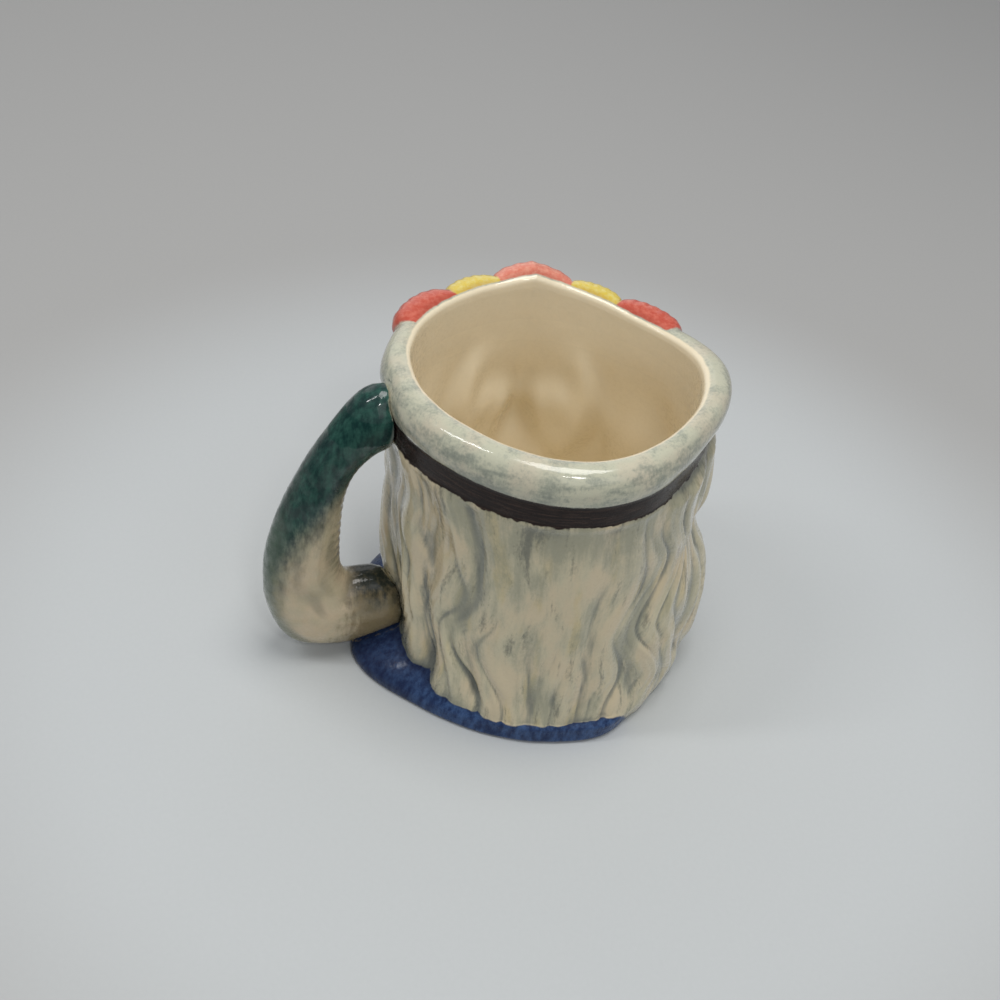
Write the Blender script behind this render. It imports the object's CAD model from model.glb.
"""Looks of the toby jug: one finely modelled casting, its painted glaze, and a plain stage.

The casting covers the jug's solid, with the same sizes and finer relief. Lengths are in metres and
+Z is up. The face looks along -Y and the handle is on +X. Directions round the jug are angles, 0 at
the face and 90 degrees at the handle.
"""

import math
from functools import partial, reduce

import bpy
import numpy as np
from mathutils import Matrix, Vector
from mathutils.kdtree import KDTree


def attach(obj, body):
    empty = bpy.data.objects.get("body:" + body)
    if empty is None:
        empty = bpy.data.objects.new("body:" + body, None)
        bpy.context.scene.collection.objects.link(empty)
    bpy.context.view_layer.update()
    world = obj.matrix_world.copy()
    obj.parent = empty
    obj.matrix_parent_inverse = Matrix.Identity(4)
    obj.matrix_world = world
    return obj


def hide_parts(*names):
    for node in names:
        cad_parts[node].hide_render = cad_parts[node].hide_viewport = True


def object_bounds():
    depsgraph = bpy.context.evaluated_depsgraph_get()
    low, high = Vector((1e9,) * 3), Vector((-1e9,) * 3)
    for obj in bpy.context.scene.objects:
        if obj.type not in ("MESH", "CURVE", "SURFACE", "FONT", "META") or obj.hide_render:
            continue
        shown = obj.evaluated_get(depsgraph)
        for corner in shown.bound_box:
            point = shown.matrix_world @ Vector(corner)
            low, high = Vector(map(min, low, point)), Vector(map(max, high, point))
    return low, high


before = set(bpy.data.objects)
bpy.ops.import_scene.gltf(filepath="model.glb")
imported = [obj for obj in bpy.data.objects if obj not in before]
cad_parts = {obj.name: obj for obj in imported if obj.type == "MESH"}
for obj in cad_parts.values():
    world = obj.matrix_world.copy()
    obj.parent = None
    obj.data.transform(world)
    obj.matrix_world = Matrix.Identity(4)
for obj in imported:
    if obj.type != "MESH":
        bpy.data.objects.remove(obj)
CAD_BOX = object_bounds()

# Vessel
RIM_HEIGHT = 0.0770
FRONT_RISE = 0.0035
RIM_SKEW = 0.0016
HEAD_WIDTH = 0.0732
HEAD_BACK = 0.0364
HEAD_FRONT = 0.0335
FOOT_WIDTH = 0.0836
FOOT_BACK = 0.0390
FOOT_FRONT = 0.0380
FOOT_EDGE = 0.0012
CROWN_TAPER = 0.0022
WALL = 0.0042
FLOOR = 0.0050
CAVITY_CORNER = 0.0090
LIP_WIDTH = 0.0059
LINING_INSET = 0.0006

# Width and depth of the head over its height, as shares of its size and of the rim's height
HANDLE_SIDE = (
    (0.0, 0.80), (0.14, 0.84), (0.3, 0.895), (0.5, 0.905), (0.75, 0.935), (0.84, 0.965), (1.0, 1.0),
)
AWAY_SIDE = (
    (0.0, 1.01), (0.07, 1.035), (0.2, 1.085), (0.31, 1.095), (0.38, 1.06), (0.46, 0.985),
    (0.535, 0.935), (0.64, 0.965), (0.745, 0.95), (0.84, 0.95), (1.0, 1.0),
)
BACK = ((0.0, 1.0), (0.12, 1.01), (0.3, 1.01), (0.6, 0.995), (0.84, 0.98), (1.0, 1.015))
FRONT = ((0.0, 0.93), (0.2, 0.97), (0.45, 0.985), (0.7, 0.99), (0.84, 0.99), (1.0, 1.0))

# Where the rim, the collar and the foot of the hair swell or draw in: direction, spread and depth
CROWN_SWELLS = (
    (math.radians(-86.0), 0.42, 0.0016),
    (math.radians(-135.0), 0.36, -0.0012),
)
COLLAR_SWELLS = (
    (math.radians(108.0), 0.28, 0.0022),
    (math.radians(-160.0), 0.30, 0.0022),
    (math.radians(-122.0), 0.42, -0.0046),
)
HAIR_SWELLS = (
    (math.radians(135.0), 0.45, 0.0022),
    (math.radians(-122.0), 0.22, 0.0014),
    (math.radians(-150.0), 0.24, 0.0022),
)

# Headband, cap edge and shells
CAP_HEIGHT = 0.0078
BAND_WIDTH = 0.0056
BAND_DEPTH = 0.0004
SHELL_BULGE = 0.0026
SHELL_RISE = 0.0018
SHELL_EDGES_DEG = (16.5, 38.5, 64.5)
SHELL_RIBS = 6
RIB_DEPTH = 0.00010

# The cap edge at even steps up and over: rise, inset, and how fully the shells stand out there
CAP_SECTION = (
    (0.06, 0.00, 0.35), (0.38, -0.05, 0.80), (0.66, 0.04, 1.00), (0.87, 0.22, 0.85),
    (0.98, 0.46, 0.40), (1.00, 0.74, 0.00), (0.93, 0.95, 0.00), (0.76, 1.00, 0.00),
)

# Handle, in its own upright plane. The reach is from the side of the head.
HANDLE_TURN_DEG = 6.0
HANDLE_REACH = 0.0258
HANDLE_DROP = 0.0012
HANDLE_FOOT = 0.0016
HANDLE_THICKNESS = 0.0128
GAP_WIDTH = 0.0090
GAP_BOTTOM = 0.0225
GAP_HEIGHT = 0.0353
NOTCHES = 31
NOTCH_DEPTH = 0.00020
DIMPLE_DEPTH = 0.00022

# The handle's outer edge and the finger gap's edge, downwards, as shares of their reach and height
HANDLE_EDGE = (
    (0.20, 0.955), (0.45, 0.84), (0.68, 0.71), (0.87, 0.56), (0.99, 0.38), (0.985, 0.20),
    (0.80, 0.05), (0.44, 0.00),
)
GAP_EDGE = (
    (0.24, 1.01), (0.68, 0.89), (0.90, 0.69), (0.99, 0.45), (1.00, 0.22), (0.92, 0.07),
    (0.74, 0.01), (0.42, 0.00),
)

# Hair, beard and face. A face unit is 1 mm on a jug with this rim height.
FACE_UNITS = 77.0
LOCKS = 14
LOCK_DEPTH = 0.0025
STRAND_DEPTH = 0.0009
FINE_STRAND_DEPTH = 0.00034
HAIRLINE_DEG = 46.0
BEARD_LOCKS = 13
EYE_ACROSS = 8.8
EYE_HEIGHT = 45.9
EYE_HALF_WIDTH = 4.5
NOSE_RIDGE = (
    (33.0, 0.0), (34.4, 1.4), (35.4, 5.6), (37.2, 8.3), (39.0, 7.6), (43.0, 4.9), (47.0, 2.3),
    (50.5, 1.6), (55.0, 0.0),
)
NOSE_WIDTH = ((33.0, 4.2), (37.0, 3.9), (41.0, 3.0), (46.0, 2.7), (50.0, 3.6), (55.0, 5.0))

# Hand-cast unevenness and the soft joint of the handle
UNEVEN = 0.00022
JOINT_SOFTNESS = 0.0026
JOINT_ROUNDS = 30

# Mesh density and smoothing, and the rows after which every noise repeats upwards
COLUMNS = 448
FRONT_CROWDING = 0.36
EDGE_ROWS = 5
BODY_ROWS = 122
BAND_ROWS = 8
CAP_ROWS = 28
LINING_ROWS = 60
LINING_ROUNDS = 14
HANDLE_RINGS = 104
HANDLE_SIDES = 56
NOISE_ROWS = 97

# Rings of the cavity's floor: size and how far down they lie
FLOOR_RINGS = ((0.97, 0.55), (0.90, 0.85), (0.75, 0.98), (0.5, 1.0), (0.25, 1.0))
# Rings of the underside: size and recess in metres
UNDERSIDE_RINGS = ((0.95, 0.0), (0.915, 0.0003), (0.88, 0.0006), (0.45, 0.0007))

# An edge distance in millimetres that is beyond every painted edge
BEYOND = -9.0
# Radius in millimetres of the round on which the hair's brush strokes run
FLOW_RADIUS = 38.0

# Half the width of the paper that the jug stands on
PAPER_HALF = 3.0

# Camera: place, then turn, dip and tilt in radians, as solved from the photograph's outlines
CAMERA_PLACE = (0.062258, 0.206103, 0.226034)
CAMERA_TURN = (-0.253716, 0.720861, 0.134091)
CAMERA_LENS = 45.0
CAMERA_SENSOR = 36.0

# Even light from all round, then the softboxes: name, place, size, power in watts and colour
SKY_COLOUR = (0.93, 0.95, 1.0, 1.0)
SKY_STRENGTH = 0.27
LIGHT_TARGET = (0.0, 0.0, 0.04)
LIGHTS = (
    ("overhead", (-0.05, 0.04, 0.75), (0.36, 0.36), 2.7, (1.0, 0.99, 0.97)),
    ("window", (0.48, 0.0, 0.74), (0.06, 0.34), 1.0, (1.0, 1.0, 1.0)),
    ("back_fill", (-0.25, 0.90, 0.60), (0.90, 0.60), 1.05, (1.0, 0.99, 0.97)),
    ("near_lamp", (-0.03, 0.46, 0.58), (0.09, 0.05), 0.5, (1.0, 0.99, 0.97)),
    ("front_fill", (0.10, -0.80, 0.45), (1.00, 0.60), 1.0, (1.0, 0.98, 0.96)),
)

UNIT = RIM_HEIGHT / FACE_UNITS
MM = 0.001
HAIRLINE = math.radians(HAIRLINE_DEG)
BAND_TOP = RIM_HEIGHT - CAP_HEIGHT
BAND_BOTTOM = BAND_TOP - BAND_WIDTH
LINING_FOOT = FLOOR + 0.12 * CAVITY_CORNER


def ease(low, high, value):
    """0 at low, 1 at high, and a smooth step between them."""
    share = np.clip((value - low) / (high - low), 0.0, 1.0)
    return share * share * (3.0 - 2.0 * share)


def bump(value, centre, spread):
    """A bell of height 1."""
    return np.exp(-(((value - centre) / spread) ** 2))


def higher(first, second, blend):
    """The larger of two surfaces, with a fillet where they cross."""
    share = np.clip(0.5 + 0.5 * (first - second) / blend, 0.0, 1.0)
    return second + (first - second) * share + blend * share * (1.0 - share)


def curve(value, *stations):
    """A smooth curve through (position, height) stations."""
    at, height = np.array(stations, float).T
    slope = np.gradient(height, at)
    value = np.clip(value, at[0], at[-1])
    k = np.clip(np.searchsorted(at, value) - 1, 0, len(at) - 2)
    span = at[k + 1] - at[k]
    t = (value - at[k]) / span
    rise = (2 * t**3 - 3 * t**2 + 1) * height[k] + (3 * t**2 - 2 * t**3) * height[k + 1]
    return rise + span * ((t**3 - 2 * t**2 + t) * slope[k] + (t**3 - t**2) * slope[k + 1])


def smooth_noise(across, along, cells, seed):
    """Gradient noise from about -1 to 1, which repeats after that number of cells across."""
    rows = NOISE_ROWS
    turn = np.random.default_rng(seed).uniform(0.0, 2.0 * math.pi, (cells, rows))
    left, low = np.floor(across).astype(int), np.floor(along).astype(int)
    u, v = across - left, along - low
    total = 0.0
    for right in (0, 1):
        for up in (0, 1):
            slope = turn[(left + right) % cells, (low + up) % rows]
            fade_u = u * u * u * (u * (u * 6 - 15) + 10)
            fade_v = v * v * v * (v * (v * 6 - 15) + 10)
            weight = (fade_u if right else 1 - fade_u) * (fade_v if up else 1 - fade_v)
            total = total + weight * (np.cos(slope) * (u - right) + np.sin(slope) * (v - up))
    return 1.6 * total


def round_noise(base, height, cells, length, seed):
    """Noise round the jug, with that number of cells in a turn."""
    across = (base / (2 * math.pi) + 0.5) * cells
    return smooth_noise(across + 0 * height, height / length + 0 * base, cells, seed)


def strands(base, height, cells, length, seed):
    """Soft grooves that run down the hair: 0 in a groove and 1 on a crest."""
    return 1.0 - np.exp(-(((round_noise(base, height, cells, length, seed) + 0.10) / 0.22) ** 2))


def oval(angle, side, front, back):
    """Radius of a slightly lozenge-shaped oval."""
    depth = np.where(np.cos(angle) > 0, front, back)
    radius = 1.0 / np.sqrt((np.sin(angle) / side) ** 2 + (np.cos(angle) / depth) ** 2)
    return radius * (1.0 + 0.018 * (np.cos(4 * angle) - 1.0))


def skew(angle):
    """The casting's front leans a little up and out on the handle's side, and the other way beyond."""
    return RIM_SKEW * np.sin(angle) * ease(-0.2, 0.8, np.cos(angle))


def rim_height(angle):
    """The rim is level at the back and sides and rises to a low peak over the brow."""
    broad = np.cos(np.clip(angle * 1.25, -math.pi / 2, math.pi / 2)) ** 2
    peak = np.clip(1.0 - np.abs(angle) / math.radians(20.0), 0.0, 1.0) ** 1.5
    return RIM_HEIGHT + FRONT_RISE * (0.55 * broad + 0.45 * peak) + skew(angle)


def swell(angle, swells):
    """How far the listed swells push the outside out in a direction."""
    total = 0.0 * angle
    for direction, spread, depth in swells:
        away = np.mod(angle - direction + math.pi, 2.0 * math.pi) - math.pi
        total = total + depth * bump(away, 0.0, spread)
    return total


def head_radius(angle, height):
    """The head without carving. The hair hangs fuller on the side away from the handle."""
    h = height / RIM_HEIGHT
    handle_share = ease(-0.35, 0.35, np.sin(angle))
    side = curve(h, *HANDLE_SIDE) * handle_share + curve(h, *AWAY_SIDE) * (1.0 - handle_share)
    radius = oval(angle, side * HEAD_WIDTH / 2, curve(h, *FRONT) * HEAD_FRONT, curve(h, *BACK) * HEAD_BACK)
    radius = radius + skew(angle) * ease(0.6, 0.95, h)
    return radius + swell(angle, HAIR_SWELLS) * bump(h, 0.06, 0.09)


def crown_radius(angle, height, swollen=1.0):
    """The rim and the headband, which draw in below on the side away from the handle."""
    radius = head_radius(angle, RIM_HEIGHT + 0 * height) + swollen * swell(angle, CROWN_SWELLS)
    return radius - CROWN_TAPER * bump(angle, -1.80, 0.55) * ease(RIM_HEIGHT, BAND_BOTTOM, height)


def hairline(height):
    """Angle where the hair meets the face: it opens from the temples down to the jaw."""
    z = height / UNIT
    return curve(z, (0.0, 0.70), (16.0, 0.78), (30.0, 0.80), (44.0, 0.72), (56.0, 0.60), (64.0, 0.50))


def strand_angle(base, height):
    """Direction of a column: it follows the hairline in front and the waves of the hair behind."""
    h = height / RIM_HEIGHT
    side = np.sign(base)
    away = np.abs(base)
    opened = (hairline(height) - HAIRLINE) * np.where(
        away < HAIRLINE, ease(0.0, HAIRLINE, away), 1.0 - ease(HAIRLINE, 1.9, away)
    )
    share = np.clip((away - HAIRLINE) / (math.pi - HAIRLINE), 0.0, 1.0)
    weight = np.sin(math.pi * share)
    drift = 0.20 * (1.0 - h) * weight
    curl = np.where(side > 0, 0.045, 0.085) * np.sin(13.5 * h + 2.4 * base) * weight
    beard = 0.030 * np.sin(0.50 * height / UNIT + 3.0 * base) * (away < HAIRLINE)
    beard = beard * ease(26.0, 18.0, height / UNIT) * np.sin(math.pi * np.clip(away / HAIRLINE, 0, 1))
    return base + side * (opened + drift + beard) + curl


def hair_relief(base, height):
    """Long locks, 0 in their valleys and 1 on their crests, soft behind and deep at the sides."""
    h = height / RIM_HEIGHT
    phase = LOCKS * base + 1.1 * np.sin(2 * base + 0.7) + 0.8 * np.sin(5 * base + 2.0)
    crest = np.sqrt(0.96 * np.cos(phase / 2.0) ** 2 + 0.04)
    depth = 0.30 + 0.58 * ease(0.2, 0.9, np.abs(np.sin(base))) + 0.40 * bump(h, 0.16, 0.2)
    return crest * depth * (0.8 + 0.2 * np.sin(8.0 * h + 3.0 * base))


def hair_strands(base, height):
    """Strands within the locks, in metres: faint near the band, strong below and at the sides."""
    h = height / RIM_HEIGHT
    side = ease(0.15, 0.85, np.abs(np.sin(base)))
    sway = (0.025 + 0.050 * side) * np.sin(14.0 * h + 2.0 * np.sin(2 * base)) * ease(0.85, 0.35, h)
    sway = sway + 0.085 * round_noise(base, height, 13, 0.017, 43) * ease(0.80, 0.45, h)
    broad = strands(base + sway, height, 29, 0.043, 3) - 0.7
    fine = strands(base + 1.2 * sway, height, 71, 0.026, 5) - 0.7
    strength = 0.10 + 0.90 * np.maximum(side * ease(0.95, 0.6, h), ease(0.55, 0.12, h))
    tips = ease(0.045, 0.12, h)
    return strength * (0.4 + 0.6 * tips) * (STRAND_DEPTH * broad + FINE_STRAND_DEPTH * tips * fine)


def face_relief(across, z):
    """The face in face units: how far it stands from the head at a place across and above the foot."""
    x = np.abs(across)
    plane = 0.6 * bump(z, 57.0, 8.0) - 3.0 * (x / 22.0) ** 2 + 1.3 * bump(x, 12.5, 6.0) * bump(z, 39.0, 6.0)
    brow = 2.1 * np.exp(-(((z - 51.3 - 1.3 * bump(x, 10.0, 6.0)) / 2.3) ** 2)) * ease(19.0, 12.0, x)
    socket = -3.6 * bump(x, EYE_ACROSS, 5.2) * bump(z, 46.2, 3.9)
    face = plane + brow + socket
    ball_face = 8.2 - ((x - EYE_ACROSS) ** 2 + (1.25 * (z - EYE_HEIGHT)) ** 2) / 6.4
    face = higher(face, np.minimum(ball_face, 8.2) - 8.7, 0.8)
    face = face + curve(z, *NOSE_RIDGE) * np.exp(-((x / curve(z, *NOSE_WIDTH)) ** 2.4))
    face = face + 3.3 * bump(x, 4.5, 1.9) * bump(z, 36.0, 2.0)
    # The moustache sweeps out and down from under the nose.
    middle, thick = moustache_line(x)
    lobe = np.clip(1.0 - ((z - middle) / thick) ** 2, 0.0, 1.0) ** 0.6
    lobe = lobe * ease(19.0, 13.0, x) * (0.82 + 0.18 * ease(0.0, 2.0, x))
    face = higher(face, -2.0 + 6.2 * lobe, 0.5)
    face = face + 3.2 * bump(x, 0.0, 4.4) * bump(z, 27.2, 1.5)
    edge = beard_edge(x)
    beard = 6.4 * ease(edge + 1.6 + 0.13 * x, edge - 2.6 - 0.13 * x, z)
    return higher(face, beard - 3.0 + 0.7 * bump(z, 12.0, 9.0), 0.6)


def moustache_line(across):
    """Height of the moustache's middle line and half its thickness, in face units."""
    return 32.2 - 0.03 * across - 0.030 * across**2, 2.9 - 0.055 * across


def beard_edge(across):
    """Height in face units where the beard starts: under the lip, and higher towards the ears."""
    x = np.abs(across)
    return 24.6 + 0.006 * x**2 + 0.0011 * x**3


def beard_relief(base, height):
    """Wavy locks of the beard, 0 in their valleys and 1 on their crests."""
    z = height / UNIT
    across = HEAD_WIDTH / 2 * strand_angle(base, height) / UNIT
    edge = beard_edge(across)
    crest = np.abs(np.cos(BEARD_LOCKS * math.pi * base / (2 * HAIRLINE))) ** 0.8
    return crest * ease(edge - 1.0, edge - 9.0, z)


def eye_opening(across, z):
    """How far inside the open part of an eye a place lies, in face units."""
    aside = np.abs(across) - EYE_ACROSS
    arch = np.sqrt(1.0 - np.clip(aside / EYE_HALF_WIDTH, -1.0, 1.0) ** 2)
    beyond = np.maximum(np.abs(aside) - EYE_HALF_WIDTH, 0.0)
    return np.minimum(EYE_HEIGHT + 1.48 * arch - z, z - EYE_HEIGHT + 1.22 * arch) - 1.5 * beyond


def brow_share(across, z):
    """1 in the middle of an eyebrow and 0 off it."""
    x = np.abs(across)
    middle = 51.6 + 1.3 * bump(x, 9.5, 5.0) - 0.045 * np.clip(x - 11.0, 0.0, 9.0) ** 2
    return np.exp(-(((z - middle) / 1.45) ** 2)) * ease(2.4, 4.6, x) * ease(17.5, 14.0, x)


def moustache_share(across, z):
    """1 along the moustache's middle line and 0 beyond its edges."""
    x = np.abs(across)
    middle, thick = moustache_line(x)
    return np.clip(1.0 - np.abs(z - middle) / thick, 0.0, 1.0) * ease(19.0, 15.0, x)


def face_detail(across, z):
    """Lids, nostrils, creases, and the strands of the brows and the moustache, in face units."""
    x = np.abs(across)
    opening = eye_opening(across, z)
    near_eye = ease(7.0, 5.2, np.hypot(x - EYE_ACROSS, 1.5 * (z - EYE_HEIGHT)))
    lids = 0.62 * ease(0.16, -0.22, opening) * near_eye
    fold = -0.45 * np.exp(-(((opening + 1.35) / 0.34) ** 2)) * ease(0.0, 1.0, z - EYE_HEIGHT) * near_eye
    pouch = -0.30 * np.exp(-(((opening + 2.1) / 0.55) ** 2)) * ease(0.0, -1.2, z - EYE_HEIGHT)
    pouch = pouch * ease(8.0, 5.0, np.abs(x - EYE_ACROSS))
    nostril = -1.7 * bump(x, 2.3, 1.05) * bump(z, 34.2, 0.85)
    crease = -0.55 * bump(x, 6.9 + 0.25 * (37.0 - z), 0.75) * bump(z, 35.6, 2.6)
    brow = brow_share(across, z)
    brow_hair = smooth_noise(0.55 * across - 0.25 * z, 0.95 * z - 0.42 * x, 61, 11)
    brow = brow * (0.55 + 0.55 * (1.6 * np.abs(brow_hair) - 0.5))
    share = moustache_share(across, z)
    middle, thick = moustache_line(x)
    comb = (z - middle) / thick
    whisker = smooth_noise(0.20 * across + 40.0, 3.1 * comb + 0.03 * x, 61, 13)
    whisker = ease(0.02, 0.35, share) * 0.75 * (1.9 * np.abs(whisker) - 0.5)
    parting = -0.9 * bump(x, 0.0, 0.55) * ease(0.0, 0.6, share)
    return lids + fold + pouch + nostril + crease + brow + whisker + parting


def collar_radius(angle, height):
    """The cloak: a low ring behind, a sloping shoulder at each side and a soft fold in front."""
    slope = ease(0.15, 0.85, np.abs(np.sin(angle)))
    edge = UNIT * (4.6 - 2.6 * slope)
    top = UNIT * (7.0 + 5.0 * slope)
    outer = oval(angle, FOOT_WIDTH / 2, FOOT_FRONT, FOOT_BACK) + swell(angle, COLLAR_SWELLS)
    folds = 0.006 * np.sin(9 * angle + 1.1) * ease(0.3 * edge, 2.5 * edge, height)
    fall = ease(edge, top, height)
    inner = head_radius(angle, top) * (0.985 - 0.02 * slope)
    return outer * (1 + folds) * (1 - fall) + inner * fall - 0.8 * np.maximum(height - top, 0.0)


def carved_radius(base, height, fine=True):
    """The carved head without its collar, for a column and a height."""
    angle = strand_angle(base, height)
    across = HEAD_WIDTH / 2 * angle / UNIT
    z = height / UNIT
    face = UNIT * (face_relief(across, z) + 1.1 * beard_relief(base, height))
    hair = UNIT * 0.1 + LOCK_DEPTH * hair_relief(base, height)
    if fine:
        # The locks grow alike towards the collar, and those of the beard towards its tips.
        even = 0.90 * ease(0.17, 0.04, height / RIM_HEIGHT)
        hair = hair + even * LOCK_DEPTH * (0.85 - hair_relief(base, height))
        hair = hair + hair_strands(base, height)
        below = ease(1.0, -3.0, z - beard_edge(across))
        level = 0.75 * ease(17.0, 8.0, z)
        face = face + UNIT * 1.1 * level * (0.6 - beard_relief(base, height))
        face = face + UNIT * face_detail(across, z) + (1.2 - level) * below * beard_strands(base, height)
    share = ease(HAIRLINE - 0.02, HAIRLINE + 0.05, np.abs(base))
    carved = head_radius(angle, height) + face * (1.0 - share) + hair * share
    tuck = ease(BAND_BOTTOM - 2.6 * UNIT, BAND_BOTTOM, height)
    return carved * (1.0 - tuck) + (crown_radius(angle, height) - 0.2 * UNIT) * tuck


def beard_strands(base, height):
    """Strands of the beard, in metres."""
    sway = 0.05 * np.sin(0.33 * height / UNIT + 9.0 * base)
    broad = strands(base + sway, height, 96, 0.011, 17) - 0.55
    fine = strands(base + sway, height, 190, 0.007, 19) - 0.55
    return STRAND_DEPTH * 0.75 * broad + FINE_STRAND_DEPTH * fine


def outer_radius(base, height):
    """The outside below the headband: the carved head, or the collar where that stands further out."""
    angle = strand_angle(base, height)
    brushed = 1.6 * UNEVEN * round_noise(angle, height, 30, 0.012, 23) * ease(0.0, 0.003, height)
    return higher(carved_radius(base, height), collar_radius(angle, height) + brushed, 0.5 * UNIT)


def inner_radius(base, height):
    """The lining, for rows from the lip down: a smoothed echo of the carving, one wall further in."""
    soft = blurred(carved_radius(base, height, fine=False), LINING_ROUNDS)
    limit = soft - LINING_INSET - WALL
    corner = np.clip(1.0 - (height - FLOOR) / CAVITY_CORNER, 0.0, 1.0)
    return limit - CAVITY_CORNER * (1.0 - np.sqrt(1.0 - corner**2))


def shell_place(angle):
    """Place across the shell in a direction, from -1 to 1, and that shell's size, 0 beyond them all."""
    degrees = np.degrees(np.abs(angle))
    inner, middle, outer = SHELL_EDGES_DEG
    place = np.ones_like(degrees)
    size = np.zeros_like(degrees)
    for low, high, weight in ((-inner, inner, 1.0), (inner, middle, 0.7), (middle, outer, 1.0)):
        here = (degrees >= low) & (degrees < high)
        place = np.where(here, (2 * degrees - low - high) / (high - low), place)
        size = np.where(here, weight, size)
    return place, size


def cap_section(share):
    """The cap edge at a share of its way up and over: rise, inset and shell share."""
    places = np.linspace(0.0, 1.0, len(CAP_SECTION))
    return [curve(share, *zip(places, column)) for column in zip(*CAP_SECTION)]


def blurred(grid, rounds):
    """A grid of rows round the jug, averaged with its neighbours."""
    for _ in range(rounds):
        above = np.vstack([grid[1:], grid[-1:]])
        below = np.vstack([grid[:1], grid[:-1]])
        grid = 0.25 * (above + below) + 0.5 * grid
        grid = 0.25 * (np.roll(grid, 1, 1) + np.roll(grid, -1, 1)) + 0.5 * grid
    return grid


def column_bases():
    """Column positions round the jug, closer together on the face."""
    even = np.linspace(-math.pi, math.pi, COLUMNS, endpoint=False)
    return even - FRONT_CROWDING * np.sin(even)


def outside_rows():
    """Grids of direction, radius and height from the underside's edge up to the lip's inner edge."""
    base = column_bases()[None, :]
    turn = np.linspace(0.0, math.pi / 2, EDGE_ROWS)[:, None]
    edge_height = FOOT_EDGE * (1 - np.cos(turn)) + 0 * base
    edge_radius = outer_radius(base, 0 * edge_height + FOOT_EDGE) - FOOT_EDGE * (1 - np.sin(turn))
    body = np.linspace(FOOT_EDGE, BAND_BOTTOM - 0.30 * UNIT, BODY_ROWS)[1:, None] + 0 * base
    lower = np.vstack([edge_height, body])
    lower_angle = strand_angle(base, lower)
    lower_radius = np.vstack([edge_radius, outer_radius(base, body)])
    top_angle = strand_angle(base, BAND_BOTTOM + 0 * base)
    band = np.linspace(BAND_BOTTOM, BAND_TOP, BAND_ROWS)[:, None] + 0 * base
    band_radius = crown_radius(top_angle, band) - BAND_DEPTH
    share = np.linspace(0.0, 1.0, CAP_ROWS)[:, None] + 0 * base
    rise, inset, shell_share = cap_section(share)
    lip = rim_height(top_angle)
    place, size = shell_place(top_angle)
    neck = 0.66 + 0.34 * ease(0.0, 0.65, rise)
    lobe = size * np.sqrt(np.clip(1.0 - (place / neck) ** 2, 0.0, 1.0))
    ribs = np.cos(math.pi * SHELL_RIBS * place / neck) * np.where(lobe > 0.25, ease(0.25, 0.7, lobe), 0.0)
    cap = BAND_TOP + rise * (lip - BAND_TOP)
    cap_radius = crown_radius(top_angle, cap, 1.0 - np.clip(inset, 0.0, 1.0)) - inset * LIP_WIDTH
    cap_radius = cap_radius + lobe * shell_share * SHELL_BULGE
    cap_radius = cap_radius + RIB_DEPTH * ribs * shell_share
    cap_height = cap + lobe * shell_share * SHELL_RISE * rise + 0.6 * RIB_DEPTH * ribs * shell_share * rise
    angle = np.vstack([lower_angle, np.repeat(top_angle, BAND_ROWS + CAP_ROWS, axis=0)])
    radius = np.vstack([lower_radius, band_radius, cap_radius])
    height = np.vstack([lower, band, cap_height])
    cast = round_noise(angle, height, 11, 0.023, 29) + 0.5 * round_noise(angle, height, 26, 0.011, 31)
    radius = radius + UNEVEN * cast * ease(0.0, 0.006, height)
    return base, angle, radius, height


def outside_fields(base, angle, radius, height):
    """What the paint needs to know at each point of the outside, in millimetres or face units."""
    rows = len(radius)
    across = HEAD_WIDTH / 2 * angle / UNIT
    z = height / UNIT
    upper = np.arange(rows)[:, None] >= rows - BAND_ROWS - CAP_ROWS
    carved = carved_radius(base + 0 * height, height)
    collar = collar_radius(angle, height)
    wander = 1.3 * round_noise(angle, height, 44, 0.009, 47)
    hair_side = (HAIRLINE - np.abs(base)) * HEAD_WIDTH / 2 / MM - 0.7 + 0.3 * wander
    hair_side = hair_side - 2.4 * ease(46.0, 64.0, z)
    clear = 1.6 - 10.0 * moustache_share(across, z)
    mouth_side = np.where(z < 31.0, 4.9 - np.hypot(across, 1.8 * (z - 27.5)) + 0.4 * wander, 9.0)
    beard_side = z - beard_edge(across) - 0.4 + 0.6 * wander
    cheek_side = -higher(-hair_side, -beard_side, 6.0)
    skin = np.minimum(cheek_side, np.minimum(clear, mouth_side)) + 0 * z
    lip_rows = np.clip(np.arange(rows)[:, None] - (rows - CAP_ROWS), 0, None) / (CAP_ROWS - 1.0)
    bare = ease(0.06, 0.0, np.abs(base) - HAIRLINE) * ease(-3.0, 2.0, z - beard_edge(across))
    calm = 1.0 - 0.65 * np.where(upper, 0.0, bare)
    return {
        "collar_edge": np.where(upper, BEYOND, (collar - carved) / MM),
        "skin_edge": np.where(upper, BEYOND, skin),
        "brow_share": np.where(upper, 0.0, brow_share(across, z)),
        "eye_opening": eye_opening(across, z) + 0 * z,
        "hollow": calm * np.clip((blurred(radius, 10) - radius) / MM, -1.0, 1.0),
        "deep_hollow": calm * np.clip((blurred(radius, 90) - radius) / MM, -2.0, 2.0),
        "lip_share": lip_rows + 0 * z,
        "across": across + 0 * z,
        "flow_x": FLOW_RADIUS * np.sin(base) + 0 * z,
        "flow_y": -FLOW_RADIUS * np.cos(base) + 0 * z,
    }


def add_ring(mesh, x, y, z):
    """Adds one ring of points and returns their numbers."""
    first = sum(len(part) for part in mesh["points"])
    mesh["points"].append(np.column_stack([x, y, z]))
    return np.arange(first, first + len(x))


def add_rings(mesh, x, y, z, start=None):
    """Adds a ring of points for each row, joined to each other and to a starting ring."""
    rings = [] if start is None else [start]
    rings += [add_ring(mesh, *row) for row in zip(x, y, z)]
    for before, after in zip(rings, rings[1:]):
        add_band(mesh, before, after)
    return rings


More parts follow.
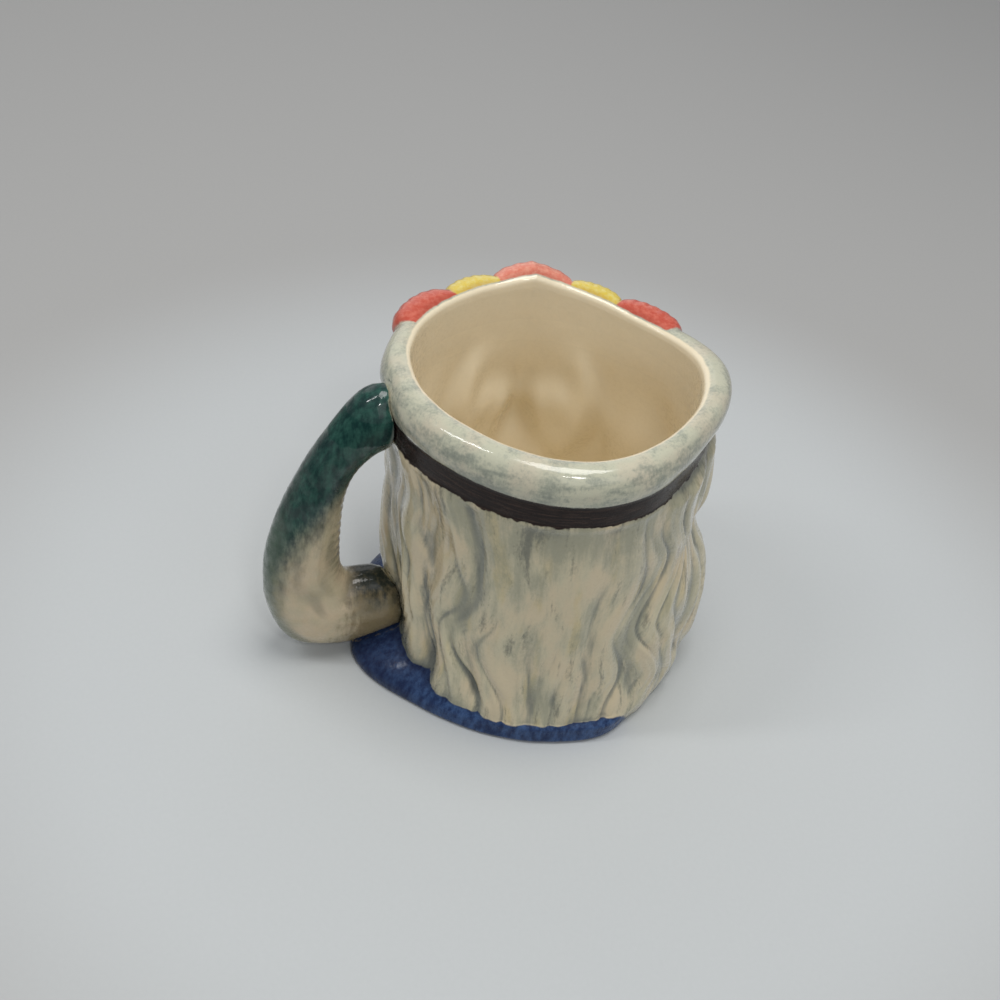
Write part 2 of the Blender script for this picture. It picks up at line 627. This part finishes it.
def add_band(mesh, before, after):
    """Joins two rings with faces. The second ring may have half the points of the first."""
    count = len(before)
    here = np.arange(count)
    following = (here + 1) % count
    if len(after) == count:
        mesh["faces"] += np.column_stack([before, before[following], after[following], after]).tolist()
        return
    for k in range(count):
        if k % 2 == 0:
            mesh["faces"].append([before[k], before[following[k]], after[k // 2]])
        else:
            there = ((k + 1) // 2) % len(after)
            mesh["faces"].append([before[k], before[following[k]], after[there], after[k // 2]])


def add_lining(mesh, ring, base, mouth, top):
    """The inside, from the lip's inner edge down the wall and across the floor."""
    share = np.linspace(0.0, 1.0, LINING_ROWS + 1)[1:, None]
    flat = LINING_FOOT + (1.0 - share) * (RIM_HEIGHT - FLOOR)
    height = flat + (top - RIM_HEIGHT) * ease(0.35, 0.0, share)
    level = np.minimum(height, BAND_BOTTOM)
    wall = inner_radius(base, level)
    flare = ease(0.62, 0.95, (height - FLOOR) / (RIM_HEIGHT - FLOOR))
    radius = -higher(-wall, -mouth, 1.2 * UNIT) * flare + wall * (1.0 - flare)
    near_lip = ease(0.30, 0.0, share)
    radius = radius * (1.0 - near_lip) + mouth * near_lip
    angle = strand_angle(base, level)
    size, drop = np.array(FLOOR_RINGS).T[:, :, None]
    radius = np.vstack([radius, size * radius[-1]])
    angle = np.vstack([angle, angle[-1] + 0 * size])
    height = np.vstack([height, FLOOR + (LINING_FOOT - FLOOR) * (1.0 - drop) + 0 * height[-1]])
    rings = add_rings(mesh, radius * np.sin(angle), -radius * np.cos(angle), height, start=ring)
    mesh["faces"].append(rings[-1].tolist())


def add_underside(mesh, ring):
    """The foot ring and the shallow recess inside it. Returns how many points it has added."""
    before = len(mesh["faces"])
    size, recess = np.array(UNDERSIDE_RINGS).T[:, :, None]
    x, y, _ = size * mesh["points"][0][::2].T[:, None]
    rings = add_rings(mesh, x, y, recess + 0 * x, start=ring)
    mesh["faces"].append(rings[-1].tolist())
    mesh["faces"][before:] = [face[::-1] for face in mesh["faces"][before:]]
    return x.size


def build_vessel():
    """The jug without its handle: points, faces and the paint's fields for each point."""
    base, angle, radius, height = outside_rows()
    mesh = {"points": [], "faces": []}
    rings = add_rings(mesh, radius * np.sin(angle), -radius * np.cos(angle), height)
    add_lining(mesh, rings[-1], base[:, ::2], radius[-1, ::2], height[-1, ::2])
    under = add_underside(mesh, rings[0])
    points = np.vstack(mesh["points"])
    unseen = {"collar_edge": BEYOND, "skin_edge": BEYOND, "eye_opening": BEYOND, "lip_share": 2.0}
    values = {}
    for name, grid in outside_fields(base, angle, radius, height).items():
        values[name] = np.append(grid, np.full(len(points) - grid.size, unseen.get(name, 0.0)))
    values["lip_share"][-under:] = -1.0
    values["collar_edge"][-under:] = -BEYOND
    return points, mesh["faces"], values


def build_handle():
    """The handle: a flattened loop, slim under the rim and stout where it curls back below."""
    turn = math.radians(HANDLE_TURN_DEG)
    side = np.array(math.pi / 2 + turn)
    near = HEAD_WIDTH / 2
    top = RIM_HEIGHT - HANDLE_DROP
    root = [float(head_radius(side, np.array(z))) - WALL / 2 for z in (top, GAP_BOTTOM)]
    tall = top - HANDLE_FOOT
    outer = [(near + HANDLE_REACH * r, HANDLE_FOOT + tall * z) for r, z in HANDLE_EDGE]
    inner = [(near + GAP_WIDTH * r, GAP_BOTTOM + GAP_HEIGHT * z) for r, z in GAP_EDGE]
    outer = [(root[0], top), *outer, (root[1], HANDLE_FOOT)]
    inner = [(root[0], GAP_BOTTOM + 1.06 * GAP_HEIGHT), *inner, (root[1], GAP_BOTTOM)]
    places = np.linspace(0.0, 1.0, len(outer))
    along = np.linspace(0.0, 1.0, HANDLE_RINGS)[:, None]
    outer_r, outer_z = (curve(along, *zip(places, column)) for column in zip(*outer))
    inner_r, inner_z = (curve(along, *zip(places, column)) for column in zip(*inner))
    stoutness = curve(along, (0.0, 0.95), (0.3, 0.88), (0.6, 1.05), (0.8, 1.1), (1.0, 1.0))
    around = (np.arange(HANDLE_SIDES) * 2 * math.pi / HANDLE_SIDES)[None, :]
    edge = np.cos(around)
    flank = np.sin(around)
    length = np.hypot(outer_r - inner_r, outer_z - inner_z)
    notch = NOTCH_DEPTH * np.cos(2 * math.pi * NOTCHES * along)
    notch = notch * bump(edge, -1.0, 0.30) * bump(along, 0.42, 0.22)
    dimples = DIMPLE_DEPTH * smooth_noise(7.0 * along + 0 * around, 3.0 * edge + 0 * along + 20, 61, 37)
    dimples = dimples * ease(0.2, 0.6, along) + UNEVEN * smooth_noise(4 * along, 2 * edge + 9, 61, 41)
    share = 0.5 + 0.5 * edge * (1 + 2 * (dimples - notch) / length)
    flat = flank * (HANDLE_THICKNESS / 2 * stoutness + dimples)
    r = inner_r + share * (outer_r - inner_r)
    z = inner_z + share * (outer_z - inner_z)
    x = r * math.cos(turn) - flat * math.sin(turn)
    y = r * math.sin(turn) + flat * math.cos(turn)
    mesh = {"points": [], "faces": []}
    rings = add_rings(mesh, x, y, z)
    mesh["faces"] += [rings[0][::-1].tolist(), rings[-1].tolist()]
    fields = {"handle_along": along, "handle_out": edge, "hollow": (notch - dimples) / MM}
    values = {name: (field + 0 * x).reshape(-1) for name, field in fields.items()}
    return np.vstack(mesh["points"]), mesh["faces"], values


def linked(name, data):
    """A new object in the scene."""
    made = bpy.data.objects.new(name, data)
    bpy.context.scene.collection.objects.link(made)
    return made


def new_mesh_object(name, points, faces):
    """A new object from points and faces."""
    mesh = bpy.data.meshes.new(name)
    mesh.from_pydata(points.tolist(), [], faces)
    return linked(name, mesh)


def positions(mesh):
    """The points of a mesh, one in a row."""
    flat = np.empty(len(mesh.vertices) * 3, np.float32)
    mesh.vertices.foreach_get("co", flat)
    return flat.reshape(-1, 3).astype(float)


def nearest(points, targets):
    """For each point, the number of the nearest target and its distance."""
    tree = KDTree(len(targets))
    for number, target in enumerate(targets):
        tree.insert(target, number)
    tree.balance()
    found = [tree.find(point)[1:] for point in points]
    return np.array([number for number, _ in found]), np.array([distance for _, distance in found])


def soften_joint(mesh, points, distance):
    """Rounds the crease where the handle meets the wall, for points at a distance from it."""
    pull = ease(JOINT_SOFTNESS, 0.3 * JOINT_SOFTNESS, distance)
    edges = np.empty(len(mesh.edges) * 2, np.int64)
    mesh.edges.foreach_get("vertices", edges)
    edges = edges.reshape(-1, 2)
    edges = edges[(pull[edges] > 0).any(axis=1)]
    ends = np.concatenate([edges, edges[:, ::-1]])
    here = np.unique(ends[:, 0])
    slot = np.full(len(points), -1)
    slot[here] = np.arange(len(here))
    count = np.bincount(slot[ends[:, 0]], minlength=len(here))[:, None]
    for _ in range(JOINT_ROUNDS):
        sums = [np.bincount(slot[ends[:, 0]], points[ends[:, 1], axis], len(here)) for axis in range(3)]
        total = np.column_stack(sums)
        points[here] += 0.6 * pull[here, None] * (total / count - points[here])
    return points


def join_handle(vessel, handle):
    """One closed mesh from both."""
    union = vessel.modifiers.new("handle_union", "BOOLEAN")
    union.operation = "UNION"
    union.solver = "MANIFOLD"
    union.object = handle
    graph = bpy.context.evaluated_depsgraph_get()
    return bpy.data.meshes.new_from_object(vessel.evaluated_get(graph))


def write_fields(mesh, fields):
    """Stores the paint's fields on the points of the mesh."""
    flow = np.column_stack([fields.pop("flow_" + axis) for axis in "xyz"]).astype(np.float32)
    mesh.attributes.new("flow", "FLOAT_VECTOR", "POINT").data.foreach_set("vector", flow.reshape(-1))
    for name, field in fields.items():
        attribute = mesh.attributes.new(name, "FLOAT", "POINT")
        attribute.data.foreach_set("value", field.astype(np.float32))


def build_jug():
    """The whole jug as one piece, with the paint's fields on its points."""
    points, faces, values = build_vessel()
    handle_points, handle_faces, handle_values = build_handle()
    vessel = new_mesh_object("vessel_shape", points, faces)
    handle = new_mesh_object("handle_shape", handle_points, handle_faces)
    mesh = join_handle(vessel, handle)
    for helper in (vessel, handle):
        bpy.data.objects.remove(helper)
    final = positions(mesh)
    match, distance = nearest(final, np.vstack([points, handle_points]))
    on_handle = match >= len(points)
    # Only the points that the union has added along the joint lie away from every earlier point.
    _, from_joint = nearest(final, final[distance > 2e-6])
    near_handle, _ = nearest(final, handle_points)
    none = np.zeros(len(handle_points))
    fields = {}
    for name, part in values.items():
        fields[name] = np.append(part, handle_values.get(name, none))[match]
    for name in ("handle_along", "handle_out"):
        fields[name] = handle_values[name][near_handle]
    fields["handle_edge"] = np.where(on_handle, from_joint, -from_joint) / MM
    fields["flow_z"] = final[:, 2] / MM
    # The looks stay inside the box of the solid.
    final = np.clip(soften_joint(mesh, final, from_joint), *CAD_BOX)
    mesh.vertices.foreach_set("co", final.astype(np.float32).reshape(-1))
    mesh.name = "jug"
    mesh.materials.clear()
    mesh.shade_smooth()
    write_fields(mesh, fields)
    return linked("jug", mesh)


def srgb(red, green, blue):
    """A linear colour from 0 to 255 display values."""
    shares = [value / 255.0 for value in (red, green, blue)]
    return tuple(v / 12.92 if v <= 0.04045 else ((v + 0.055) / 1.055) ** 2.4 for v in shares)


class Paint:
    """Builds the nodes of one material."""

    def __init__(self, name):
        self.material = bpy.data.materials.new(name)
        self.material.use_nodes = True
        self.tree = self.material.node_tree
        self.shader = self.tree.nodes["Principled BSDF"]

    def feed(self, socket, value):
        """Links an output to a socket, or sets the socket to a value. Colours are from 0 to 255."""
        if isinstance(value, bpy.types.NodeSocket):
            self.tree.links.new(value, socket)
        elif socket.type == "RGBA":
            socket.default_value = (*srgb(*value), 1.0)
        else:
            socket.default_value = value

    def node(self, kind, inputs=(), **settings):
        """A new node with its settings and inputs."""
        made = self.tree.nodes.new(kind)
        for name, value in settings.items():
            setattr(made, name, value)
        for name, value in dict(inputs).items():
            self.feed(made.inputs[name], value)
        return made

    def math(self, operation, *values):
        """One arithmetic step on values or outputs."""
        return self.node("ShaderNodeMath", enumerate(values), operation=operation).outputs[0]

    def plus(self, *values):
        return reduce(partial(self.math, "ADD"), values)

    def minus(self, first, second):
        return self.math("SUBTRACT", first, second)

    def times(self, *values):
        return reduce(partial(self.math, "MULTIPLY"), values)

    def swing(self, noise, strength):
        """A noise turned into a push of up to half that strength either way."""
        return self.times(self.minus(noise, 0.5), strength)

    def ellipse(self, wide, tall, narrow, flat):
        """0 in the middle of an ellipse, growing with the square of the way out."""
        return self.plus(self.times(wide, wide, narrow), self.times(tall, tall, flat))

    def distance(self, wide, tall):
        return self.math("SQRT", self.plus(self.times(wide, wide), self.times(tall, tall)))

    def parts(self, place):
        """The X, Y and Z of a place."""
        return self.node("ShaderNodeSeparateXYZ", {0: place}).outputs

    def joined(self, x, y, z=0.0):
        return self.node("ShaderNodeCombineXYZ", {0: x, 1: y, 2: z}).outputs[0]

    def field(self, name):
        """A stored field of the mesh."""
        return self.node("ShaderNodeAttribute", attribute_name=name).outputs["Fac"]

    def scaled(self, place, upright, across=1.0):
        """A place scaled upright and across, so that a pattern laid on it is stretched."""
        inputs = {0: place, 1: (across, across, upright)}
        return self.node("ShaderNodeVectorMath", inputs, operation="MULTIPLY").outputs[0]

    def noise(self, place, scale, detail=2.0, roughness=0.5):
        inputs = {"Vector": place, "Scale": scale, "Detail": detail, "Roughness": roughness}
        return self.node("ShaderNodeTexNoise", inputs).outputs["Fac"]

    def step(self, value, low, high):
        """0 at low and 1 at high, smooth between them."""
        return self.ramp(value, low, high, 0.0, 1.0)

    def ramp(self, value, low, high, first, last):
        """The first result at low and the last at high, smooth between them."""
        inputs = {"Value": value, "From Min": low, "From Max": high, "To Min": first, "To Max": last}
        return self.node("ShaderNodeMapRange", inputs, interpolation_type="SMOOTHSTEP").outputs["Result"]

    def mix(self, share, first, second):
        """The first colour where the share is 0 and the second where it is 1."""
        made = self.tree.nodes.new("ShaderNodeMix")
        made.data_type = "RGBA"
        for name, value in (("Factor_Float", share), ("A_Color", first), ("B_Color", second)):
            self.feed(next(s for s in made.inputs if s.identifier == name), value)
        return next(s for s in made.outputs if s.identifier == "Result_Color")

    def blend(self, first, second, value, low, high, strength=1.0):
        """The first colour where the value is at low, passing to the second where it is at high."""
        return self.mix(self.ramp(value, low, high, 0.0, strength), first, second)


def hair_paint(paint, height, hollow, deep):
    """Cream hair with pinkish crests and a grey-green wash in its grooves."""
    flow = paint.node("ShaderNodeAttribute", attribute_name="flow").outputs["Vector"]
    streak = paint.noise(paint.scaled(flow, 0.22), 0.50, 4.0, 0.62)
    patch = paint.noise(paint.scaled(flow, 0.55), 0.105, 3.0, 0.55)
    stipple = paint.noise(paint.scaled(flow, 0.5), 2.0, 3.0, 0.7)
    yellow = paint.noise(paint.scaled(flow, 0.30), 0.19, 2.0, 0.5)
    smudge = paint.noise(paint.scaled(flow, 0.26), 0.30, 3.0, 0.6)
    colour = paint.blend((206, 198, 168), (213, 198, 166), patch, 0.40, 0.62)
    colour = paint.blend(colour, (204, 184, 122), yellow, 0.56, 0.70, 0.42)
    # A thin grey-green wash lies in broad patches, gathers in the valleys and hangs from the band.
    hang = paint.ramp(height, BAND_BOTTOM / MM - 15.0, BAND_BOTTOM / MM, 0.0, 0.34)
    wash = paint.plus(paint.times(paint.minus(0.57, patch), 2.6), hang, paint.times(deep, 0.45))
    wash = paint.plus(wash, paint.swing(streak, 1.3), paint.swing(stipple, 0.55))
    colour = paint.blend(colour, (141, 143, 124), wash, -0.10, 0.80, 0.66)
    depth = paint.plus(paint.times(hollow, 2.3), paint.times(deep, 0.50), paint.swing(streak, 1.1))
    colour = paint.blend(colour, (106, 112, 107), depth, 0.15, 1.15, 0.60)
    smudge = paint.plus(smudge, paint.swing(stipple, 0.26), paint.times(hang, 0.20))
    dark = paint.math("MAXIMUM", paint.step(depth, 0.95, 1.9), paint.step(smudge, 0.56, 0.76))
    return paint.mix(paint.times(dark, 0.62), colour, (74, 80, 76))


def skin_paint(paint, place, across, height, hollow):
    """Warm flesh with a blush on the cheeks and the nose, and soft lips."""
    patch = paint.noise(place, 0.16, 3.0, 0.55)
    colour = paint.blend((226, 178, 148), (219, 165, 134), patch, 0.3, 0.7)
    aside = paint.minus(paint.math("ABSOLUTE", across), 14.0)
    cheek = paint.ellipse(aside, paint.minus(height, 38.5), 0.030, 0.040)
    colour = paint.blend(colour, (205, 118, 96), cheek, 1.15, 0.0, 0.55)
    nose = paint.ellipse(across, paint.minus(height, 37.0), 0.07, 0.06)
    colour = paint.blend(colour, (208, 122, 100), nose, 1.0, 0.0, 0.45)
    return paint.blend(colour, (158, 96, 74), hollow, 0.08, 0.7, 0.40)


def eye_paint(paint, colour, across, height):
    """White, iris, pupil, a painted gleam and a dark line round the opening."""
    opening = paint.field("eye_opening")
    wide = paint.minus(paint.math("ABSOLUTE", across), EYE_ACROSS - 0.15)
    tall = paint.minus(height, EYE_HEIGHT + 0.25)
    away = paint.distance(wide, tall)
    eye = paint.blend((226, 222, 208), (52, 66, 74), away, 1.78, 1.62)
    eye = paint.blend(eye, (96, 122, 132), away, 1.55, 1.15)
    eye = paint.blend(eye, (16, 14, 14), away, 0.86, 0.76)
    gleam = paint.distance(paint.minus(wide, 0.55), paint.minus(tall, 0.60))
    eye = paint.blend(eye, (238, 236, 228), gleam, 0.38, 0.28)
    upper = paint.step(height, EYE_HEIGHT - 0.2, EYE_HEIGHT + 0.5)
    rim = paint.times(paint.step(opening, -0.42, -0.20), paint.step(opening, 0.30, 0.10))
    line = paint.times(rim, paint.plus(paint.times(upper, 0.65), 0.25))
    return paint.mix(line, paint.blend(colour, eye, opening, -0.02, 0.08), (74, 44, 34))


def head_paint(paint, place, height, wobble, hollow, deep):
    """Hair, skin, eyes, mouth and brows."""
    across = paint.field("across")
    face_height = paint.times(height, MM / UNIT)
    hair = hair_paint(paint, height, hollow, deep)
    skin = skin_paint(paint, place, across, face_height, hollow)
    skin = eye_paint(paint, skin, across, face_height)
    mouth = paint.ellipse(across, paint.minus(face_height, 27.5), 0.055, 0.30)
    skin = paint.blend(skin, (186, 100, 86), mouth, 1.15, 0.55, 0.7)
    brow = paint.plus(paint.field("brow_share"), paint.times(wobble, 0.5))
    skin = paint.blend(skin, hair, brow, 0.32, 0.50)
    skin_edge = paint.plus(paint.field("skin_edge"), paint.times(wobble, 1.6))
    return paint.blend(hair, skin, skin_edge, -0.5, 0.45)


def shell_paint(paint, place, degrees, hollow):
    """Coral and red shells with a yellow pair between them, darker between their ribs."""
    inner, middle, _ = SHELL_EDGES_DEG
    edge = paint.plus(paint.math("ABSOLUTE", degrees), paint.swing(paint.noise(place, 0.35, 1.0), 2.4))
    soft = paint.noise(paint.scaled(place, 0.4), 0.9, 3.0, 0.6)
    coral = paint.blend((222, 128, 106), (232, 158, 134), soft, 0.35, 0.7)
    yellow = paint.blend((222, 196, 78), (226, 210, 122), soft, 0.35, 0.7)
    red = paint.blend((196, 84, 66), (212, 112, 92), soft, 0.35, 0.7)
    colour = paint.blend(coral, yellow, edge, inner - 0.5, inner + 0.5)
    colour = paint.blend(colour, red, edge, middle - 0.5, middle + 0.5)
    return paint.blend(colour, (150, 62, 44), hollow, 0.0, 0.35, 0.5)


def cap_paint(paint, place, lip, deep):
    """Greenish off-white with grey-green stipple, pinkish tints and dark specks."""
    patch = paint.noise(place, 0.13, 3.0, 0.55)
    stipple = paint.noise(paint.scaled(place, 0.6), 1.6, 4.0, 0.72)
    drift = paint.noise(paint.scaled(place, 2.6), 0.17, 3.0, 0.6)
    colour = paint.blend((198, 198, 176), (205, 198, 176), patch, 0.38, 0.66)
    wash = paint.plus(paint.swing(stipple, 1.5), paint.times(deep, 0.25), paint.swing(drift, 2.6))
    wash = paint.plus(wash, paint.ramp(lip, 0.62, 0.20, 0.0, 0.45))
    colour = paint.blend(colour, (132, 140, 130), wash, -0.15, 0.75, 0.75)
    colour = paint.blend(colour, (92, 100, 96), wash, 0.60, 1.40, 0.45)
    return paint.blend(colour, (96, 102, 98), paint.noise(place, 5.5, 1.0), 0.70, 0.76, 0.5)


def rim_paint(paint, place, degrees, lip, wobble, hollow, deep):
    """The cap edge and, in front, the shells."""
    last = SHELL_EDGES_DEG[-1]
    turn = paint.plus(paint.math("ABSOLUTE", degrees), paint.times(wobble, 1.6))
    outside = paint.step(paint.plus(lip, paint.times(wobble, 0.05)), 0.75, 0.71)
    on_shell = paint.times(paint.step(turn, last + 0.4, last - 0.4), outside)
    cap = cap_paint(paint, place, lip, deep)
    return paint.mix(on_shell, cap, shell_paint(paint, place, degrees, hollow))


def band_paint(paint, place, degrees, height):
    """Dark brown with lighter brush streaks along the band."""
    run = paint.joined(paint.times(degrees, 0.10), paint.times(height, 2.0))
    colour = paint.blend((30, 20, 18), (70, 54, 47), paint.noise(run, 1.0, 4.0, 0.65), 0.42, 0.75)
    return paint.blend(colour, (26, 20, 22), paint.noise(place, 1.3, 3.0, 0.6), 0.50, 0.72, 0.45)


def collar_paint(paint, place, hollow):
    """Deep blue with paler diagonal brush strokes, darkest in its folds and under the handle."""
    x, y, z = paint.parts(place)
    run = paint.joined(x, y, paint.times(paint.plus(z, paint.times(x, 0.5)), 0.35))
    colour = paint.blend((34, 50, 86), (66, 92, 134), paint.noise(run, 0.75, 4.0, 0.65), 0.32, 0.70)
    under = paint.times(paint.step(x, 22.0, 38.0), paint.step(z, 14.0, 3.0), 0.6)
    colour = paint.mix(under, colour, (24, 28, 54))
    return paint.blend(colour, (22, 28, 56), hollow, 0.02, 0.4, 0.6)


def lining_paint(paint, place):
    """Clear-glazed cream body."""
    return paint.mix(paint.noise(place, 0.06, 2.0, 0.5), (243, 231, 203), (239, 224, 193))


def handle_paint(paint, place, hollow):
    """Sea green above and outside, airbrushed into beige within and below, dark at the lower joint."""
    along = paint.field("handle_along")
    out = paint.field("handle_out")
    streak = paint.noise(paint.scaled(place, 0.4), 0.55, 4.0, 0.65)
    patch = paint.noise(place, 0.2, 3.0)
    green = paint.blend((16, 48, 46), (48, 88, 78), streak, 0.36, 0.72)
    beige = paint.blend((196, 184, 154), (208, 190, 160), patch, 0.35, 0.7)
    fade = paint.plus(paint.minus(along, paint.times(out, 0.18)), paint.swing(streak, 0.22))
    colour = paint.blend(green, beige, fade, 0.33, 0.58)
    middle = paint.times(paint.step(along, 0.96, 0.72), paint.step(along, 0.40, 0.5))
    colour = paint.mix(paint.times(middle, paint.step(out, 0.45, 0.95), 0.75), colour, (82, 100, 84))
    stain = paint.plus(along, paint.swing(streak, 0.16))
    colour = paint.blend(colour, (112, 98, 66), stain, 0.84, 0.93, 0.8)
    shade = paint.plus(out, paint.swing(streak, 1.4))
    dark = paint.times(paint.step(stain, 0.70, 0.90), paint.step(shade, -0.30, -0.95))
    colour = paint.mix(paint.times(dark, 0.95), colour, (20, 34, 32))
    top = paint.plus(along, paint.times(out, 0.04))
    colour = paint.blend(colour, (140, 148, 140), top, 0.035, 0.015, 0.8)
    return paint.blend(colour, (78, 84, 74), hollow, 0.03, 0.25, 0.35)


def glaze_material():
    """The whole painted finish under one clear glaze, which is duller on the band and the collar."""
    paint = Paint("painted_glaze")
    place = paint.scaled(paint.node("ShaderNodeTexCoord").outputs["Object"], 1 / MM, 1 / MM)
    x, y, height = paint.parts(place)
    degrees = paint.math("DEGREES", paint.math("ARCTAN2", x, paint.times(y, -1.0)))
    hollow = paint.field("hollow")
    deep = paint.field("deep_hollow")
    lip = paint.field("lip_share")
    wobble = paint.swing(paint.noise(place, 0.42, 3.0, 0.55), 1.0)

    # Each coat of paint ends at a hand-painted, slightly wavy edge.
    colour = head_paint(paint, place, height, wobble, hollow, deep)
    on_collar = paint.step(paint.plus(paint.field("collar_edge"), paint.times(wobble, 0.7)), -0.18, 0.18)
    colour = paint.mix(on_collar, colour, collar_paint(paint, place, hollow))
    low_edge = paint.plus(height, paint.times(wobble, 1.8))
    above_hair = paint.step(low_edge, BAND_BOTTOM / MM - 0.15, BAND_BOTTOM / MM + 0.15)
    colour = paint.mix(above_hair, colour, band_paint(paint, place, degrees, height))
    high_edge = paint.plus(height, paint.times(wobble, -0.9))
    above_band = paint.step(high_edge, BAND_TOP / MM - 0.1, BAND_TOP / MM + 0.25)
    colour = paint.mix(above_band, colour, rim_paint(paint, place, degrees, lip, wobble, hollow, deep))
    lining_edge = paint.plus(lip, paint.times(wobble, 0.06))
    cream = lining_paint(paint, place)
    colour = paint.blend(colour, cream, lining_edge, 0.74, 0.79)
    handle_edge = paint.plus(paint.field("handle_edge"), wobble)
    colour = paint.blend(colour, handle_paint(paint, place, hollow), handle_edge, -0.35, 0.1)
    # The foot ring stands unglazed on the table, and the recess inside it is glazed.
    underside = paint.blend(cream, (206, 196, 176), height, 0.12, 0.02)
    colour = paint.blend(colour, underside, lip, -0.4, -0.6)

    shader = paint.shader.inputs
    paint.feed(shader["Base Color"], colour)
    grain = paint.noise(place, 1.1, 3.0, 0.6)
    paint.feed(shader["Roughness"], paint.ramp(grain, 0.2, 0.8, 0.20, 0.38))
    shader["Specular IOR Level"].default_value = 0.12
    dull = paint.plus(paint.times(paint.minus(above_hair, above_band), 0.70), paint.times(on_collar, 0.75))
    paint.feed(shader["Coat Weight"], paint.ramp(dull, 0.0, 1.0, 1.0, 0.0))
    shader["Coat Roughness"].default_value = 0.06
    surface = paint.plus(paint.times(grain, 0.05), paint.times(paint.noise(place, 0.35, 2.0), 0.16))
    bump_inputs = {"Height": surface, "Distance": MM, "Strength": 0.5}
    waves = paint.node("ShaderNodeBump", bump_inputs).outputs["Normal"]
    for name in ("Normal", "Coat Normal"):
        paint.feed(shader[name], waves)
    return paint.material


def stage_material():
    """Pale matt paper that turns a little greyer away from the jug."""
    paint = Paint("pale_paper")
    place = paint.node("ShaderNodeTexCoord").outputs["Object"]
    grain = paint.noise(place, 900.0, 3.0, 0.6)
    x, y, _ = paint.parts(place)
    near = paint.mix(grain, (197, 201, 202), (201, 205, 206))
    far = paint.mix(grain, (175, 175, 174), (179, 179, 177))
    colour = paint.blend(near, far, paint.distance(x, y), 0.100, 0.185)
    paint.feed(paint.shader.inputs["Base Color"], colour)
    paint.shader.inputs["Roughness"].default_value = 0.75
    return paint.material


def build_floor():
    """A large plain floor."""
    corners = PAPER_HALF * np.array([[-1, -1, 0], [1, -1, 0], [1, 1, 0], [-1, 1, 0]])
    floor = new_mesh_object("floor", corners, [[0, 1, 2, 3]])
    floor.data.materials.append(stage_material())


def add_area_light(name, place, size, power, colour):
    """A rectangular softbox at a place, turned to the jug."""
    data = bpy.data.lights.new(name, "AREA")
    data.shape = "RECTANGLE"
    data.size, data.size_y = size
    data.energy = power
    data.color = colour
    light = linked(name, data)
    light.location = place
    light.rotation_euler = (Vector(LIGHT_TARGET) - Vector(place)).to_track_quat("-Z", "Y").to_euler()


def light_studio():
    """Soft, nearly even light, a tall window on the handle's side and a small lamp into the mouth."""
    world = bpy.data.worlds.new("studio")
    world.use_nodes = True
    background = world.node_tree.nodes["Background"]
    background.inputs["Color"].default_value = SKY_COLOUR
    background.inputs["Strength"].default_value = SKY_STRENGTH
    bpy.context.scene.world = world
    for light in LIGHTS:
        add_area_light(*light)


def place_camera():
    """The photograph's view: from behind, above and a little to the handle's side."""
    turn, dip, tilt = CAMERA_TURN
    forward = Vector((math.sin(turn) * math.cos(dip), -math.cos(turn) * math.cos(dip), -math.sin(dip)))
    level = forward.cross(Vector((0.0, 0.0, 1.0))).normalized()
    upright = level.cross(forward)
    right = level * math.cos(tilt) + upright * math.sin(tilt)
    up = upright * math.cos(tilt) - level * math.sin(tilt)
    data = bpy.data.cameras.new("photo_view")
    data.lens = CAMERA_LENS
    data.sensor_width = CAMERA_SENSOR
    data.clip_start = 0.01
    camera = linked("photo_view", data)
    turned = Matrix((right, up, -forward)).transposed().to_4x4()
    camera.matrix_world = Matrix.Translation(CAMERA_PLACE) @ turned
    bpy.context.scene.camera = camera


jug = build_jug()
jug.data.materials.append(glaze_material())
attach(jug, "root")
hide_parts("toby_jug")
build_floor()
light_studio()
place_camera()
bpy.context.scene.view_settings.view_transform = "Standard"
